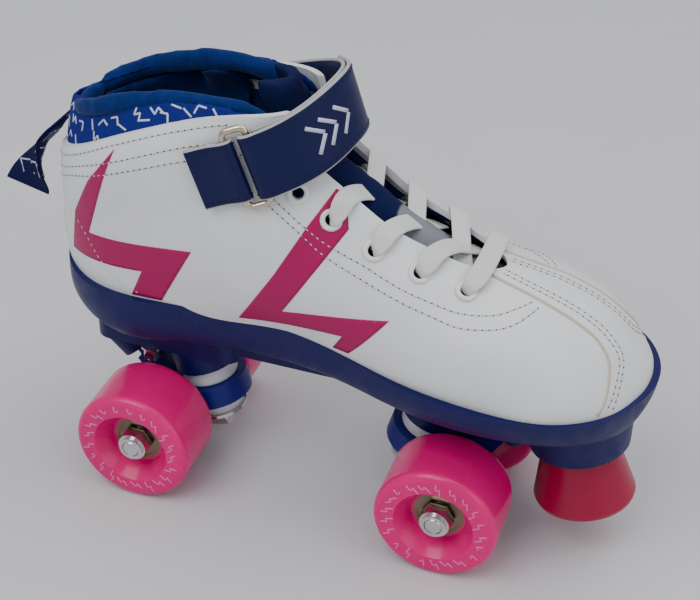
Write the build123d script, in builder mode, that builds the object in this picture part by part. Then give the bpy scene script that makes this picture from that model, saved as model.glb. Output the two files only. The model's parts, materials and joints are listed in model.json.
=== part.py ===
from build123d import *
from math import atan2, cos, degrees, hypot, pi, radians, sin
import os

# Quad roller skate, right foot. Millimetres.
# +X points to the toe, +Y to the inner side of the foot, +Z up.
# The origin is on the floor under the middle of the skate, halfway between the axles.

# Wheels and their bearings
WHEEL_R = 27.0
WHEEL_W = 32.0
WHEEL_LIP = 3.5
WHEEL_Y = 35.5
RECESS_R = 17.5
RECESS_FLOOR_R = 12.0
BEARING_R = 11.0
BEARING_W = 7.0
OUTER_RACE_IN_R = 9.4
INNER_RACE_OUT_R = 5.8
BALL_R = 1.75
BALL_PITCH_R = 7.55
BALLS = 7
BEARING_S = (0.5, -13.5)
HUB_BORE_R = 9.5

# Axles
AXLE_X = 70.0
AXLE_Z = 27.0
AXLE_R = 4.0
AXLE_END = 51.3
ARM_END = 21.0
WASHER_T = 1.0
NUT_AF = 13.0
NUT_H = 5.7

# Trucks: hanger ring on the kingpin, pivot arm in its cup
TILT = radians(16)
RING_X = 51.0
RING_Z = 34.0
RING_R = 16.5
RING_BORE_R = 7.5
RING_T = 10.0
KINGPIN_R = 4.5
CUSHION_R = 12.8
UPPER_CUSHION_H = 8.0
LOWER_CUSHION_H = 7.0
KINGPIN_BOSS_R = 15.0
PIVOT_X = 90.0
PIVOT_Z = 50.0
PIVOT_R = 5.2
CUP_R = 8.2
PIVOT_BOSS_R = 11.0

# Sole plate
PLATE_BOTTOM = 71.0
BOOT_BOTTOM = 75.5
WALL = 2.8
PLATE_HEEL = -120.5
PLATE_TOE = 147.3
PLATE_WIDTHS = (
    (-113.5, 16.5),
    (-100, 28.5),
    (-82, 34.6),
    (-62, 32.6),
    (-42, 28.8),
    (-20, 26.8),
    (2, 28.8),
    (21, 33.0),
    (41, 39.8),
    (62, 45.2),
    (84, 47.2),
    (106, 46.2),
    (125, 40.5),
    (138, 27.5),
)
PLATE_LEVELS = ((7.5, 13, 0), (3.2, 4.5, 5), (0.9, 1.4, 14), (0, 0, 36))
WALL_TOP = ((-128, 98.5), (-104, 96), (-60, 95.5), (-20, 94), (20, 90), (60, 86.5), (104, 85.5), (150, 86))
PAD_BOTTOM = 57.0
STRINGER_BOTTOM = 62.0

# Toe stop
STOP_TOP = (117.0, 0, 60.0)
STOP_LEAN = radians(11)
STOP_TOP_R = 15.5
STOP_R = 22.0
STOP_LEN = 39.0
STOP_BOSS_LEN = 10.0

# Boot: oblique cross-sections from the sole side (first point) to the throat side (second point),
# half widths at these shares of the way across, and how far the section sits towards +Y.
SHARES = (0.02, 0.10, 0.25, 0.45, 0.65, 0.83, 0.95)
SECTIONS = (
    ((-112, 184), (-12, 218), (5, 12, 19, 22, 20, 17, 12), 0),
    ((-115, 166), (-6, 204), (7, 15, 23, 27.5, 25.5, 21.5, 16), 0),
    ((-117, 148), (-2, 190), (10, 22.5, 33, 36.5, 33, 27.5, 20), 0),
    ((-119, 118), (6, 173), (9, 22, 32, 35.5, 33.5, 27.5, 19.5), 0),
    ((-115.5, 88), (21, 162.5), (11, 23, 31.5, 34.5, 34.5, 29, 18.5), 0),
    ((-92, 70), (39, 151), (24.5, 28.5, 29.5, 32.5, 34.5, 29, 16.5), 0),
    ((-50, 70), (57, 140.5), (19.5, 23, 25, 31.5, 35, 30, 17), 0),
    ((-10, 70), (75, 131), (19, 22.5, 27.5, 35, 37.5, 32, 18), 0),
    ((30, 70), (93, 126), (24, 29, 36.5, 41.5, 41.5, 34, 19.5), 0),
    ((70, 70), (111, 120.5), (32, 36.5, 41.8, 43.8, 40.5, 32, 18.5), 0.5),
    ((101, 70), (126.5, 111.5), (33, 37.5, 41.5, 42, 37, 27, 15), 2),
    ((122, 70.5), (137.5, 99), (25, 29, 33, 33.5, 29, 20, 11), 4.3),
    ((133, 71.5), (142, 91), (17, 21, 25, 25.5, 21, 15, 8), 6),
    ((139.5, 74), (143.6, 84), (7, 9.5, 12, 12, 10, 7, 4), 7),
)
SHELL_T = 2.0
BOARD_IN = 15.0
LINING_IN = 2.1
LINING_T = 1.5
TOPLINE = ((-124, 145), (-112, 152.5), (-92, 164), (-77, 172), (-58, 180), (-38, 186), (-22, 188.5), (15, 189))
BAND_TOP = ((-126, 167), (-108, 172.5), (-92, 178), (-70, 185), (-45, 189.5), (-25, 189), (-5, 182), (15, 174))
TONGUE_IN = 7.0
TONGUE_T = 5.0
LINING_TOP = ((-124, 136), (-60, 168), (20, 180))
THROAT = ((-34, 17), (0, 17), (20, 16.5), (40, 15.5), (58, 13.5), (71, 9.5))
THROAT_END = 80.0
VAMP_SEAM = ((74, 9), (86, 10.8), (97, 12.2), (107, 13.4), (117, 14.6), (124, 17.5), (127.8, 24), (129, 36))

# Cuff roll: centre line of one side, from the heel to the front
CUFF = ((-107, 0, 168), (-103.5, 11, 170.5), (-92, 19, 176.5), (-72, 21.5, 183), (-48, 20.5, 187.5), (-27, 18.5, 186))
CUFF_FRONT = ((-12, 17.5, 180), (-3, 15.5, 172))
CUFF_T = 9.0
CUFF_H = 14.0

# Lacing
EYELETS = ((-1, 25.5), (13, 25), (31, 24.5), (50, 23.5), (69, 21.5))
EYELET_R = 4.6
EYELET_HOLE_R = 2.7
LACE_R = 1.1

LACE_UNDER = -5.3
LACE_OVER = 2.9

# Ankle strap, threaded through a ring on the outer side
STRAP_W = 28.0
STRAP_T = 1.5
STRAP_GAP = 1.0
NUT_POCKET_R = 5.6
STRAP_LEAN = (-0.33, 0, 0.94)
STRAP_LINE = (
    (-3, -27.8, 178),
    (5, -21.5, 183.5),
    (10, -12, 188),
    (12, 0, 190),
    (8.5, 11.5, 187.5),
    (1.5, 21.3, 183),
    (-9, 29.3, 177.5),
    (-22, 34.2, 172),
    (-36, 38.5, 166),
)
FLAP_POINTS = 6
WIRE_R = 1.4
RING_CENTRE = (-20.0, -32.5, 170.0)
RING_FORWARD = (0.90, 0.24, 0.35)
RING_OUT = (0.223, -0.963, 0.087)
RING_LEN = 33.0
RING_GAP = 10.0
TAB_LEN = 17.0
TAB_W = 26.5

# Pull tab: centre points and the direction of its width at each
PULL_TAB = (
    ((-116.6, 0, 158.5), (0, 1, 0)),
    ((-122.5, 0, 154), (0.05, 1, 0)),
    ((-131, -0.5, 139.5), (-0.35, 0.93, -0.08)),
    ((-138, -2.5, 121.5), (-0.8, 0.4, -0.18)),
)
PULL_TAB_W = 20.0
PULL_TAB_T = 2.2


def save(builder, label):
    """Label one piece and write its STEP file."""
    builder.part.label = label
    export_step(builder.part, f"parts/{label}.step")


def on_axle(end, side, y=0.0):
    """Location on an axle with its Z axis pointing outwards, end +1 at the toe, side +1 on the inner side."""
    return Location((end * AXLE_X, side * y, AXLE_Z), (-90 * side, 0, 0))


def ring(r_out, r_in, start, height):
    """Ring around the local Z axis from start upwards."""
    with BuildPart() as part:
        with BuildSketch(Plane.XY.offset(start)):
            Circle(r_out)
            Circle(r_in, mode=Mode.SUBTRACT)
        extrude(amount=height)
    return part.part


def hex_nut(across, bore, start, height):
    """Hexagon nut with a chamfered crown, from start upwards."""
    with BuildPart() as part:
        with BuildSketch(Plane.XY.offset(start)):
            RegularPolygon(across / 2, 6, major_radius=False)
            Circle(bore, mode=Mode.SUBTRACT)
        extrude(amount=height)
        with BuildPart(mode=Mode.INTERSECT):
            with Locations((0, 0, start)):
                Cone(across * 0.62, across * 0.5, height, align=(Align.CENTER, Align.CENTER, Align.MIN))
    return part.part


# ---------------------------------------------------------------- wheels


def wheel(end, side):
    half = WHEEL_W / 2
    outer, inner = BEARING_S
    lip_r = WHEEL_R - WHEEL_LIP
    with BuildPart() as local:
        with BuildSketch(Plane.XZ):
            with BuildLine():
                Polyline(
                    (HUB_BORE_R, inner + BEARING_W),
                    (BEARING_R, inner + BEARING_W),
                    (BEARING_R, inner),
                    (RECESS_FLOOR_R + 1, inner),
                    (RECESS_R, -half),
                    (lip_r, -half),
                )
                CenterArc((lip_r, -half + WHEEL_LIP), WHEEL_LIP, -90, 90)
                Line((WHEEL_R, -half + WHEEL_LIP), (WHEEL_R, half - WHEEL_LIP))
                CenterArc((lip_r, half - WHEEL_LIP), WHEEL_LIP, 0, 90)
                Polyline(
                    (lip_r, half),
                    (RECESS_R, half),
                    (RECESS_FLOOR_R, outer + BEARING_W),
                    (BEARING_R, outer + BEARING_W),
                    (BEARING_R, outer),
                    (HUB_BORE_R, outer),
                    (HUB_BORE_R, inner + BEARING_W),
                )
            make_face()
        revolve(axis=Axis.Z)
    with BuildPart() as part:
        add(on_axle(end, side, WHEEL_Y) * local.part)
    return part


def outer_races(end, side):
    """Outer bearing rings with their crimped shields."""
    with BuildPart() as part:
        for s in BEARING_S:
            race = ring(BEARING_R, OUTER_RACE_IN_R, s, BEARING_W)
            shields = [ring(OUTER_RACE_IN_R, INNER_RACE_OUT_R + 0.5, s + z, 0.4) for z in (0.3, BEARING_W - 0.7)]
            add(on_axle(end, side, WHEEL_Y) * race)
            for shield in shields:
                add(on_axle(end, side, WHEEL_Y) * shield)
    return part


# ---------------------------------------------------------------- axle hardware


def axle_rings(end, r_out, width, starts):
    """Equal rings round one axle, on both sides."""
    with BuildPart() as part:
        for side in (-1, 1):
            for start in starts:
                add(on_axle(end, side) * ring(r_out, AXLE_R, start, width))
    return part


def inner_races(end):
    return axle_rings(end, INNER_RACE_OUT_R, BEARING_W, [WHEEL_Y + s for s in BEARING_S])


def spacers(end):
    outer, inner = BEARING_S
    return axle_rings(end, 5.4, outer - inner - BEARING_W, [WHEEL_Y + inner + BEARING_W])


def axle_washers(end):
    return axle_rings(end, 5.9, WASHER_T, [ARM_END, WHEEL_Y + BEARING_S[0] + BEARING_W])


def bearing_balls(end):
    with BuildPart() as part:
        for side in (-1, 1):
            for s in BEARING_S:
                for i in range(BALLS):
                    turn = 2 * pi * i / BALLS
                    at = (BALL_PITCH_R * cos(turn), BALL_PITCH_R * sin(turn), s + BEARING_W / 2)
                    with Locations(on_axle(end, side, WHEEL_Y) * Location(at)):
                        Sphere(BALL_R)
    return part


def axle(end):
    with BuildPart() as part:
        with Locations(on_axle(end, 1)):
            Cylinder(AXLE_R, 2 * AXLE_END)
        chamfer(part.edges().filter_by(GeomType.CIRCLE), 0.6)
    return part


def axle_nuts(end):
    """Hexagon lock nuts with their collars."""
    start = WHEEL_Y + BEARING_S[0] + BEARING_W + WASHER_T
    with BuildPart() as part:
        for side in (-1, 1):
            add(on_axle(end, side) * hex_nut(NUT_AF, AXLE_R, start, NUT_H))
            add(on_axle(end, side) * ring(5.4, AXLE_R, start + NUT_H, 1.5))
    return part


# ---------------------------------------------------------------- trucks


def on_kingpin(end):
    """Location at the middle of a hanger ring with its Z axis up along the kingpin."""
    return Location((end * RING_X, 0, RING_Z), (0, end * degrees(TILT), 0))


def stack(end, solids):
    """Pieces threaded on a kingpin."""
    with BuildPart() as part:
        for solid in solids:
            add(on_kingpin(end) * solid)
    return part


def upper_cushion(end):
    with BuildPart() as local:
        add(ring(CUSHION_R, KINGPIN_R, RING_T / 2, UPPER_CUSHION_H))
        fillet(local.edges().filter_by(GeomType.CIRCLE).sort_by(SortBy.RADIUS)[-2:], 1.2)
    return stack(end, [local.part])


def lower_cushion(end):
    with BuildPart() as local:
        with Locations((0, 0, -RING_T / 2 - LOWER_CUSHION_H)):
            Cone(CUSHION_R - 2.5, CUSHION_R, LOWER_CUSHION_H, align=(Align.CENTER, Align.CENTER, Align.MIN))
        with Locations((0, 0, -RING_T / 2 - LOWER_CUSHION_H / 2)):
            Cylinder(KINGPIN_R, LOWER_CUSHION_H, mode=Mode.SUBTRACT)
    return stack(end, [local.part])


def kingpin_washer(end):
    return stack(end, [ring(CUSHION_R - 1, KINGPIN_R, -RING_T / 2 - LOWER_CUSHION_H - 1.5, 1.5)])


def kingpin_nut(end):
    return stack(end, [hex_nut(14, KINGPIN_R, -RING_T / 2 - LOWER_CUSHION_H - 7.5, 6)])


def kingpin(end):
    low = -RING_T / 2 - LOWER_CUSHION_H - 9.0
    with BuildPart() as local:
        with Locations((0, 0, low)):
            Cylinder(KINGPIN_R, 29 - low, align=(Align.CENTER, Align.CENTER, Align.MIN))
        chamfer(local.edges().filter_by(GeomType.CIRCLE).sort_by(Axis.Z)[0], 0.8)
    return stack(end, [local.part])


def arm_turn():
    """Slope of the pivot arm from the horizontal, in radians."""
    return atan2(PIVOT_Z - AXLE_Z, PIVOT_X - AXLE_X)


def on_pivot(end):
    """Location at a pivot centre with its Z axis along the arm, away from the axle."""
    return Location((end * PIVOT_X, 0, PIVOT_Z), (0, end * (90 - degrees(arm_turn())), 0))


def hanger(end):
    """Ring, beam and pivot arm in one casting."""
    arm = hypot(PIVOT_X - AXLE_X, PIVOT_Z - AXLE_Z)
    with BuildPart() as part:
        with Locations(on_axle(end, 1)):
            Cylinder(9.0, 26)
            Cylinder(7.0, 2 * ARM_END)
        with Locations(on_kingpin(end)):
            Cylinder(RING_R, RING_T)
        with BuildSketch(Plane.XZ):
            with BuildLine():
                Polyline(
                    (end * 58, 27),
                    (end * 70, 19.5),
                    (end * 78.5, 29),
                    (end * 87, 42),
                    (end * 83, 45),
                    (end * 66, 35.5),
                    (end * 58, 36.5),
                    close=True,
                )
            make_face()
        extrude(amount=6, both=True)
        with Locations(on_pivot(end)):
            Sphere(PIVOT_R)
            Cylinder(4.0, arm, align=(Align.CENTER, Align.CENTER, Align.MAX))
        with Locations(on_kingpin(end)):
            Cylinder(RING_BORE_R, 40, mode=Mode.SUBTRACT)
            with Locations((0, 0, RING_T / 2)):
                Cylinder(CUSHION_R + 0.8, 14, align=(Align.CENTER, Align.CENTER, Align.MIN), mode=Mode.SUBTRACT)
            with Locations((0, 0, -RING_T / 2)):
                Cylinder(CUSHION_R + 0.8, 20, align=(Align.CENTER, Align.CENTER, Align.MAX), mode=Mode.SUBTRACT)
        with Locations(on_axle(end, 1)):
            Cylinder(AXLE_R, 60, mode=Mode.SUBTRACT)
    return part


def pivot_cup(end):
    """Soft socket round the ball end of the arm."""
    with BuildPart() as local:
        with Locations((0, 0, -4)):
            Cylinder(CUP_R, 13, align=(Align.CENTER, Align.CENTER, Align.MIN))
        Sphere(PIVOT_R + 0.3, mode=Mode.SUBTRACT)
        with Locations((0, 0, -4)):
            Cone(5.9, 4.8, 3.2, align=(Align.CENTER, Align.CENTER, Align.MIN), mode=Mode.SUBTRACT)
    with BuildPart() as part:
        add(on_pivot(end) * local.part)
    return part


# ---------------------------------------------------------------- boot surface


def lean_in(x):
    """How far the sole's middle line sits towards +Y."""
    return 7.0 * max(0.0, (x - 75) / 72) ** 1.6


def last(inset):
    """Solid inside the boot's outer surface, this far below it."""
    with BuildPart() as part:
        for i, (low, high, widths, shift) in enumerate(SECTIONS):
            dx, dz = high[0] - low[0], high[1] - low[1]
            size = hypot(dx, dz)
            forward = inset * (0.0, 0.3, 0.6, 0.9, 1.0)[max(0, i - len(SECTIONS) + 5)]
            room = min(inset, size * 0.3)
            plane = Plane(origin=(low[0] - forward, shift, low[1]), x_dir=(dx, 0, dz), z_dir=(-dz, 0, dx))
            sides = [(room + (size - 2 * room) * s, max(1.0, w - inset)) for s, w in zip(SHARES, widths)]
            points = [(room, 0)] + sides + [(size - room, 0)] + [(a, -w) for a, w in reversed(sides)]
            with BuildSketch(plane):
                with BuildLine():
                    Spline(*points, periodic=True)
                make_face()
        loft()
        with Locations((0, 0, BOOT_BOTTOM + inset)):
            Box(320, 140, 200, align=(Align.CENTER, Align.CENTER, Align.MIN), mode=Mode.INTERSECT)
    return part.part


def layer(outer, inner, keep=(), cut=()):
    """Layer of the boot between two depths, within some solids and outside others."""
    with BuildPart() as part:
        add(last(outer))
        for solid in keep:
            add(solid, mode=Mode.INTERSECT)
        add(last(inner), mode=Mode.SUBTRACT)
        for solid in cut:
            add(solid, mode=Mode.SUBTRACT)
    return part.part


def below(curve, bottom=0.0, smooth=True):
    """Everything under a curve drawn in the side view."""
    with BuildPart() as part:
        with BuildSketch(Plane.XZ):
            with BuildLine():
                if smooth:
                    Spline(*curve)
                else:
                    Polyline(*curve)
                Polyline(curve[-1], (170, curve[-1][1]), (170, bottom), (curve[0][0], bottom), curve[0])
            make_face()
        extrude(amount=90, both=True)
    return part.part


def shifted(curve, dz):
    return [(x, z + dz) for x, z in curve]


def throat_gap(spread=0.0):
    """Opening between the lace flaps, cut straight down through the instep."""
    with BuildPart() as part:
        with BuildSketch(Plane.XY.offset(108)):
            with BuildLine():
                near = [(x, -w - spread) for x, w in THROAT]
                far = [(x, w + spread) for x, w in reversed(THROAT)]
                Spline(*near, (THROAT_END + spread, 0), *far)
                Line(far[-1], near[0])
            make_face()
        extrude(amount=130)
    return part.part


def vamp_region():
    """Plan area of the toe piece in front of the quarters."""
    near = [(x, -w) for x, w in VAMP_SEAM]
    far = [(x, w) for x, w in reversed(VAMP_SEAM)]
    with BuildPart() as part:
        with BuildSketch(Plane.XY.offset(60)):
            with BuildLine():
                Spline(*near)
                Polyline(near[-1], (129.5, -70), (170, -70), (170, 70), (129.5, 70), far[0])
                Spline(*far)
                Line(far[-1], near[0])
            make_face()
        extrude(amount=120)
    return part.part


# ---------------------------------------------------------------- sole plate


def plate_outline(inset, heel_in):
    """Closed plan outline of the plate, drawn in this far from its widest line."""
    near = [(x + heel_in * max(0, -x - 70) / 50, lean_in(x) - w + inset) for x, w in PLATE_WIDTHS]
    far = [(x + heel_in * max(0, -x - 70) / 50, lean_in(x) + w - inset) for x, w in reversed(PLATE_WIDTHS)]
    heel = (PLATE_HEEL + heel_in, 0)
    toe = (PLATE_TOE - inset * 0.8, lean_in(PLATE_TOE))
    return [heel, *near, toe, *far]


def plate_tray():
    """Tray that the boot sits in."""
    with BuildPart() as part:
        for inset, heel_in, rise in PLATE_LEVELS:
            with BuildSketch(Plane.XY.offset(PLATE_BOTTOM + rise)):
                with BuildLine():
                    Spline(*plate_outline(inset, heel_in), periodic=True)
                make_face()
        loft()
        add(below(WALL_TOP, 40), mode=Mode.INTERSECT)
        add(last(-0.1), mode=Mode.SUBTRACT)
    return part.part


def plate_bosses():
    """Pads, stringer, kingpin bosses, pivot bosses and toe stop boss under the tray."""
    with BuildPart() as part:
        for end in (-1, 1):
            with BuildSketch(Plane.XY.offset(PAD_BOTTOM)):
                with Locations((end * 69, 0)):
                    RectangleRounded(70, 31, 8)
            extrude(amount=PLATE_BOTTOM - PAD_BOTTOM + 3)
            with Locations(on_kingpin(end)):
                with Locations((0, 0, RING_T / 2 + UPPER_CUSHION_H)):
                    Cylinder(KINGPIN_BOSS_R, 21, align=(Align.CENTER, Align.CENTER, Align.MIN))
            with Locations(on_pivot(end)):
                with Locations((0, 0, -4)):
                    Cone(CUP_R + 1.4, PIVOT_BOSS_R, 17, align=(Align.CENTER, Align.CENTER, Align.MIN))
        with BuildSketch(Plane.XY.offset(STRINGER_BOTTOM)):
            Rectangle(90, 26)
        extrude(amount=PLATE_BOTTOM - STRINGER_BOTTOM + 2)
        with Locations(on_stop()):
            with Locations((0, 0, -STOP_BOSS_LEN)):
                Cone(21.5, 26, STOP_BOSS_LEN + 13, align=(Align.CENTER, Align.CENTER, Align.MIN))
        with Locations((0, 0, 20)):
            Box(400, 200, PLATE_BOTTOM - 16.5, align=(Align.CENTER, Align.CENTER, Align.MIN), mode=Mode.INTERSECT)
    return part.part


def sole_plate():
    """Moulded plate in one piece, with its holes."""
    with BuildPart() as part:
        add(plate_tray())
        add(plate_bosses())
        for end in (-1, 1):
            with Locations(on_kingpin(end)):
                Cylinder(KINGPIN_R, 58, mode=Mode.SUBTRACT)
            with Locations(on_pivot(end)):
                with Locations((0, 0, -4.1)):
                    Cylinder(CUP_R, 13.1, align=(Align.CENTER, Align.CENTER, Align.MIN), mode=Mode.SUBTRACT)
                with Locations((0, 0, -14)):
                    Cylinder(CUP_R, 10, align=(Align.CENTER, Align.CENTER, Align.MIN), mode=Mode.SUBTRACT)
        for x, y in plate_bolt_spots():
            with Locations((x, y, PLATE_BOTTOM)):
                Cylinder(2.5, 40, mode=Mode.SUBTRACT)
            with Locations((x, y, bolt_bottom(x))):
                Cylinder(NUT_POCKET_R, 9, align=(Align.CENTER, Align.CENTER, Align.MAX), mode=Mode.SUBTRACT)
        with Locations(on_stop()):
            Cylinder(4.0, 60, mode=Mode.SUBTRACT)
    return part


def plate_bolt_spots():
    return [(x, side * y) for x, y in ((-76, 12.2), (100, 20)) for side in (-1, 1)]


def bolt_bottom(x):
    """Height of the plate's underside at a bolt."""
    return PAD_BOTTOM if x < 0 else PLATE_BOTTOM


def plate_bolts():
    """Round-head bolts from inside the boot through the plate."""
    with BuildPart() as part:
        for x, y in plate_bolt_spots():
            with Locations((x, y, bolt_bottom(x) - 8)):
                Cylinder(2.5, BOOT_BOTTOM + 10 - bolt_bottom(x), align=(Align.CENTER, Align.CENTER, Align.MIN))
            with Locations((x, y, BOOT_BOTTOM + 2)):
                Cylinder(5, 1.6, align=(Align.CENTER, Align.CENTER, Align.MIN))
    return part


def plate_nuts():
    with BuildPart() as part:
        for x, y in plate_bolt_spots():
            low = bolt_bottom(x)
            add(Location((x, y, 0)) * ring(5.2, 2.5, low - 1, 1))
            add(Location((x, y, 0)) * hex_nut(8, 2.5, low - 6, 5))
    return part


# ---------------------------------------------------------------- toe stop


def on_stop():
    """Location at the top of the toe stop with its Z axis up along the stem."""
    return Location(STOP_TOP, (0, -degrees(STOP_LEAN), 0))


def toe_stop():
    with BuildPart() as local:
        with BuildSketch(Plane.XZ):
            with BuildLine():
                Polyline(
                    (4, -STOP_BOSS_LEN),
                    (STOP_TOP_R, -STOP_BOSS_LEN),
                    (STOP_R, -STOP_LEN + 2.5),
                    (STOP_R - 0.5, -STOP_LEN + 0.8),
                    (STOP_R - 2, -STOP_LEN),
                    (0, -STOP_LEN),
                    (0, -STOP_LEN + 14),
                    (4, -STOP_LEN + 14),
                    close=True,
                )
            make_face()
        revolve(axis=Axis.Z)
    with BuildPart() as part:
        add(on_stop() * local.part)
    return part


def stop_stem():
    with BuildPart() as part:
        with Locations(on_stop() * Location((0, 0, -STOP_LEN + 14))):
            Cylinder(4.0, STOP_LEN - 8, align=(Align.CENTER, Align.CENTER, Align.MIN))
    return part


# ---------------------------------------------------------------- boot


def flap_holes(depth):
    """Holes for the eyelet barrels."""
    with BuildPart() as part:
        for plane in eyelet_planes():
            with Locations(plane):
                Cylinder(EYELET_HOLE_R + 0.5, depth)
    return part.part


def upper():
    """Outer material of the boot, before it is divided."""
    return layer(0, SHELL_T, [below(TOPLINE)], [throat_gap(), board_blank(), flap_holes(8)])


def board_blank():
    """Board that the boot is lasted over."""
    with BuildPart() as part:
        with BuildSketch(Plane.XY.offset(BOOT_BOTTOM)):
            with BuildLine():
                near = [(x, lean_in(x) - w + BOARD_IN) for x, w in PLATE_WIDTHS[1:]]
                far = [(x, lean_in(x) + w - BOARD_IN) for x, w in reversed(PLATE_WIDTHS[1:])]
                Polyline(*near, *far, close=True)
            make_face()
        extrude(amount=SHELL_T)
        for x, y in plate_bolt_spots():
            with Locations((x, y, BOOT_BOTTOM)):
                Cylinder(2.5, 10, mode=Mode.SUBTRACT)
    return part.part


def lasting_board():
    with BuildPart() as part:
        add(board_blank())
    return part


def heel_slice(half, bottom, top):
    """Narrow upright slice at the back of the heel."""
    with BuildPart() as part:
        with Locations((-125, 0, bottom)):
            Box(60, 2 * half, top - bottom, align=(Align.CENTER, Align.CENTER, Align.MIN))
    return part.part


def main_solid(part):
    """Largest solid of a part, without loose trimmings."""
    with BuildPart() as kept:
        add(part.solids().sort_by(SortBy.VOLUME)[-1])
    return kept


def quarter(side):
    """One side panel of the boot."""
    with BuildPart() as part:
        add(UPPER)
        add(vamp_region(), mode=Mode.SUBTRACT)
        add(heel_slice(1.0, 60, 170), mode=Mode.SUBTRACT)
        with Locations((0, side * 50, 130)):
            Box(400, 100, 300, mode=Mode.INTERSECT)
    return main_solid(part.part)


def vamp():
    with BuildPart() as part:
        add(UPPER)
        add(vamp_region(), mode=Mode.INTERSECT)
    return part


def heel_strip():
    """Raised seam where the two side panels meet."""
    with BuildPart() as part:
        add(layer(-0.7, SHELL_T, [heel_slice(1.0, 97, 170), below(TOPLINE)]))
    return part


def lining():
    """Inner sock with a closed bottom."""
    bolt_heads = [Pos(x, y, BOOT_BOTTOM + 5) * Cylinder(5.2, 10) for x, y in plate_bolt_spots()]
    cuts = [throat_gap(4.0), flap_holes(12), *bolt_heads]
    with BuildPart() as part:
        add(layer(LINING_IN, LINING_IN + LINING_T, [below(LINING_TOP, 40, smooth=False)], cuts))
    return part


def insole():
    with BuildPart() as part:
        add(last(LINING_IN + LINING_T + 0.1))
        with Locations((0, 0, BOOT_BOTTOM - 10)):
            Box(400, 200, 16.5, align=(Align.CENTER, Align.CENTER, Align.MIN), mode=Mode.INTERSECT)
    return part


def collar_band():
    """Stretch band between the top line and the cuff."""
    cuts = [below(shifted(TOPLINE, -9.5)), throat_gap(1.5)]
    with BuildPart() as part:
        add(layer(LINING_IN, LINING_IN + 1.4, [below(BAND_TOP)], cuts))
    return part


def cuff():
    """Padded roll round the ankle opening, open at the throat."""
    far = [*CUFF, *CUFF_FRONT]
    line = [(x, -y, z) for x, y, z in reversed(far[1:])] + far
    with BuildPart() as part:
        for i, (x, y, z) in enumerate(line):
            before = line[max(0, i - 1)]
            after = line[min(len(line) - 1, i + 1)]
            heading = (after[0] - before[0], after[1] - before[1], 0)
            across = (-heading[1], heading[0], 0)
            end = i in (0, len(line) - 1)
            thick = CUFF_T * (0.8 if end else 1.0)
            with BuildSketch(Plane(origin=(x, y, z), x_dir=across, z_dir=heading)):
                RectangleRounded(thick, CUFF_H * (0.75 if end else 1.0), thick * 0.49)
        loft()
        for curve in (BAND_TOP, TOPLINE):
            walls = layer(-0.1, LINING_IN + LINING_T + 0.2, [below(shifted(curve, 0.3))])
            add(walls, mode=Mode.SUBTRACT)
    return main_solid(part.part)


def tongue_region():
    """Plan area of the tongue, up to its top edge."""
    side = ((-24, 10), (4, 11.5), (16, 20), (62, 19), (86, 11))
    with BuildPart() as part:
        with BuildSketch(Plane.XY.offset(108)):
            with BuildLine():
                Polyline(*side, *[(x, -y) for x, y in reversed(side)], close=True)
            make_face()
        extrude(amount=88)
    return part.part


def tongue():
    """Padded tongue under the lace flaps, joined in front to the toe piece."""
    with BuildPart() as part:
        add(layer(TONGUE_IN, TONGUE_IN + TONGUE_T, [tongue_region()]))
    return main_solid(part.part)


# ---------------------------------------------------------------- lacing


def eyelet_planes():
    """Planes on the boot's surface at the eyelets, normals pointing out."""
    planes = []
    for side in (-1, 1):
        for x, y in EYELETS:
            line = Axis((x, side * y, 260), (0, 0, -1))
            hits = LAST.find_intersection_points(line)
            point, normal = max(hits, key=lambda hit: hit[0].Z)
            if normal.Z < 0:
                normal = -normal
            planes.append(Plane(origin=point, x_dir=(1, 0, -normal.X / normal.Z), z_dir=normal))
    return planes


def eyelets():
    """Rolled rings through the flaps with a washer inside."""
    with BuildPart() as local:
        with Locations((0, 0, -LINING_IN - LINING_T - 0.2)):
            Cylinder(EYELET_HOLE_R + 0.45, LINING_IN + LINING_T + 0.8, align=(Align.CENTER, Align.CENTER, Align.MIN))
        with Locations((0, 0, 0.45)):
            Cone(EYELET_R, EYELET_R - 0.8, 0.6)
        Cylinder(EYELET_HOLE_R, 20, mode=Mode.SUBTRACT)
    with BuildPart() as part:
        for plane in eyelet_planes():
            add(plane.location * local.part)
    return part


def over_boot(x, y, lift):
    """Point this far outside the boot's surface, above a plan position."""
    hits = LAST.find_intersection_points(Axis((x, y, 260), (0, 0, -1)))
    point, normal = max(hits, key=lambda hit: hit[0].Z)
    if normal.Z < 0:
        normal = -normal
    return point + normal * lift


def lace_half(side):
    """Lace from the straight bar at the toe end up to its tucked end, starting at one lowest eyelet."""
    points = []
    for i in range(len(EYELETS) - 1, 0, -1):
        x, y = EYELETS[i]
        y = side * y
        points += [over_boot(x, y, LACE_OVER), over_boot(x, y, LACE_UNDER + 0.2)]
        x_next = EYELETS[i - 1][0]
        gap = x - x_next
        points.append(over_boot(x - 0.3 * gap, y * 0.6, LACE_UNDER))
        if i > 1:
            points.append(over_boot(x - 0.5 * gap, 0, -1.6 + side * 1.9))
            points.append(over_boot(x_next + 0.22 * gap, -y * 0.62, LACE_OVER))
        side = -side
    points.append(over_boot(EYELETS[1][0] - 9, -side * 6, LACE_UNDER + 1))
    return points


def lace():
    """One lace through the lower four pairs of eyelets, both ends tucked under the strap."""
    bar_x = EYELETS[-1][0]
    bar = [over_boot(bar_x + 0.5, -9, LACE_OVER - 0.4), over_boot(bar_x + 0.5, 9, LACE_OVER - 0.4)]
    points = list(reversed(lace_half(-1))) + bar + lace_half(1)
    with BuildPart() as part:
        with BuildLine():
            path = Polyline(*points)
        with BuildSketch(Plane(origin=path @ 0, z_dir=path % 0)):
            Circle(LACE_R)
        sweep(transition=Transition.ROUND)
    return part


# ---------------------------------------------------------------- ankle strap and pull tab


def ring_plane():
    return Plane(origin=RING_CENTRE, x_dir=RING_FORWARD, z_dir=RING_OUT)


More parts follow.
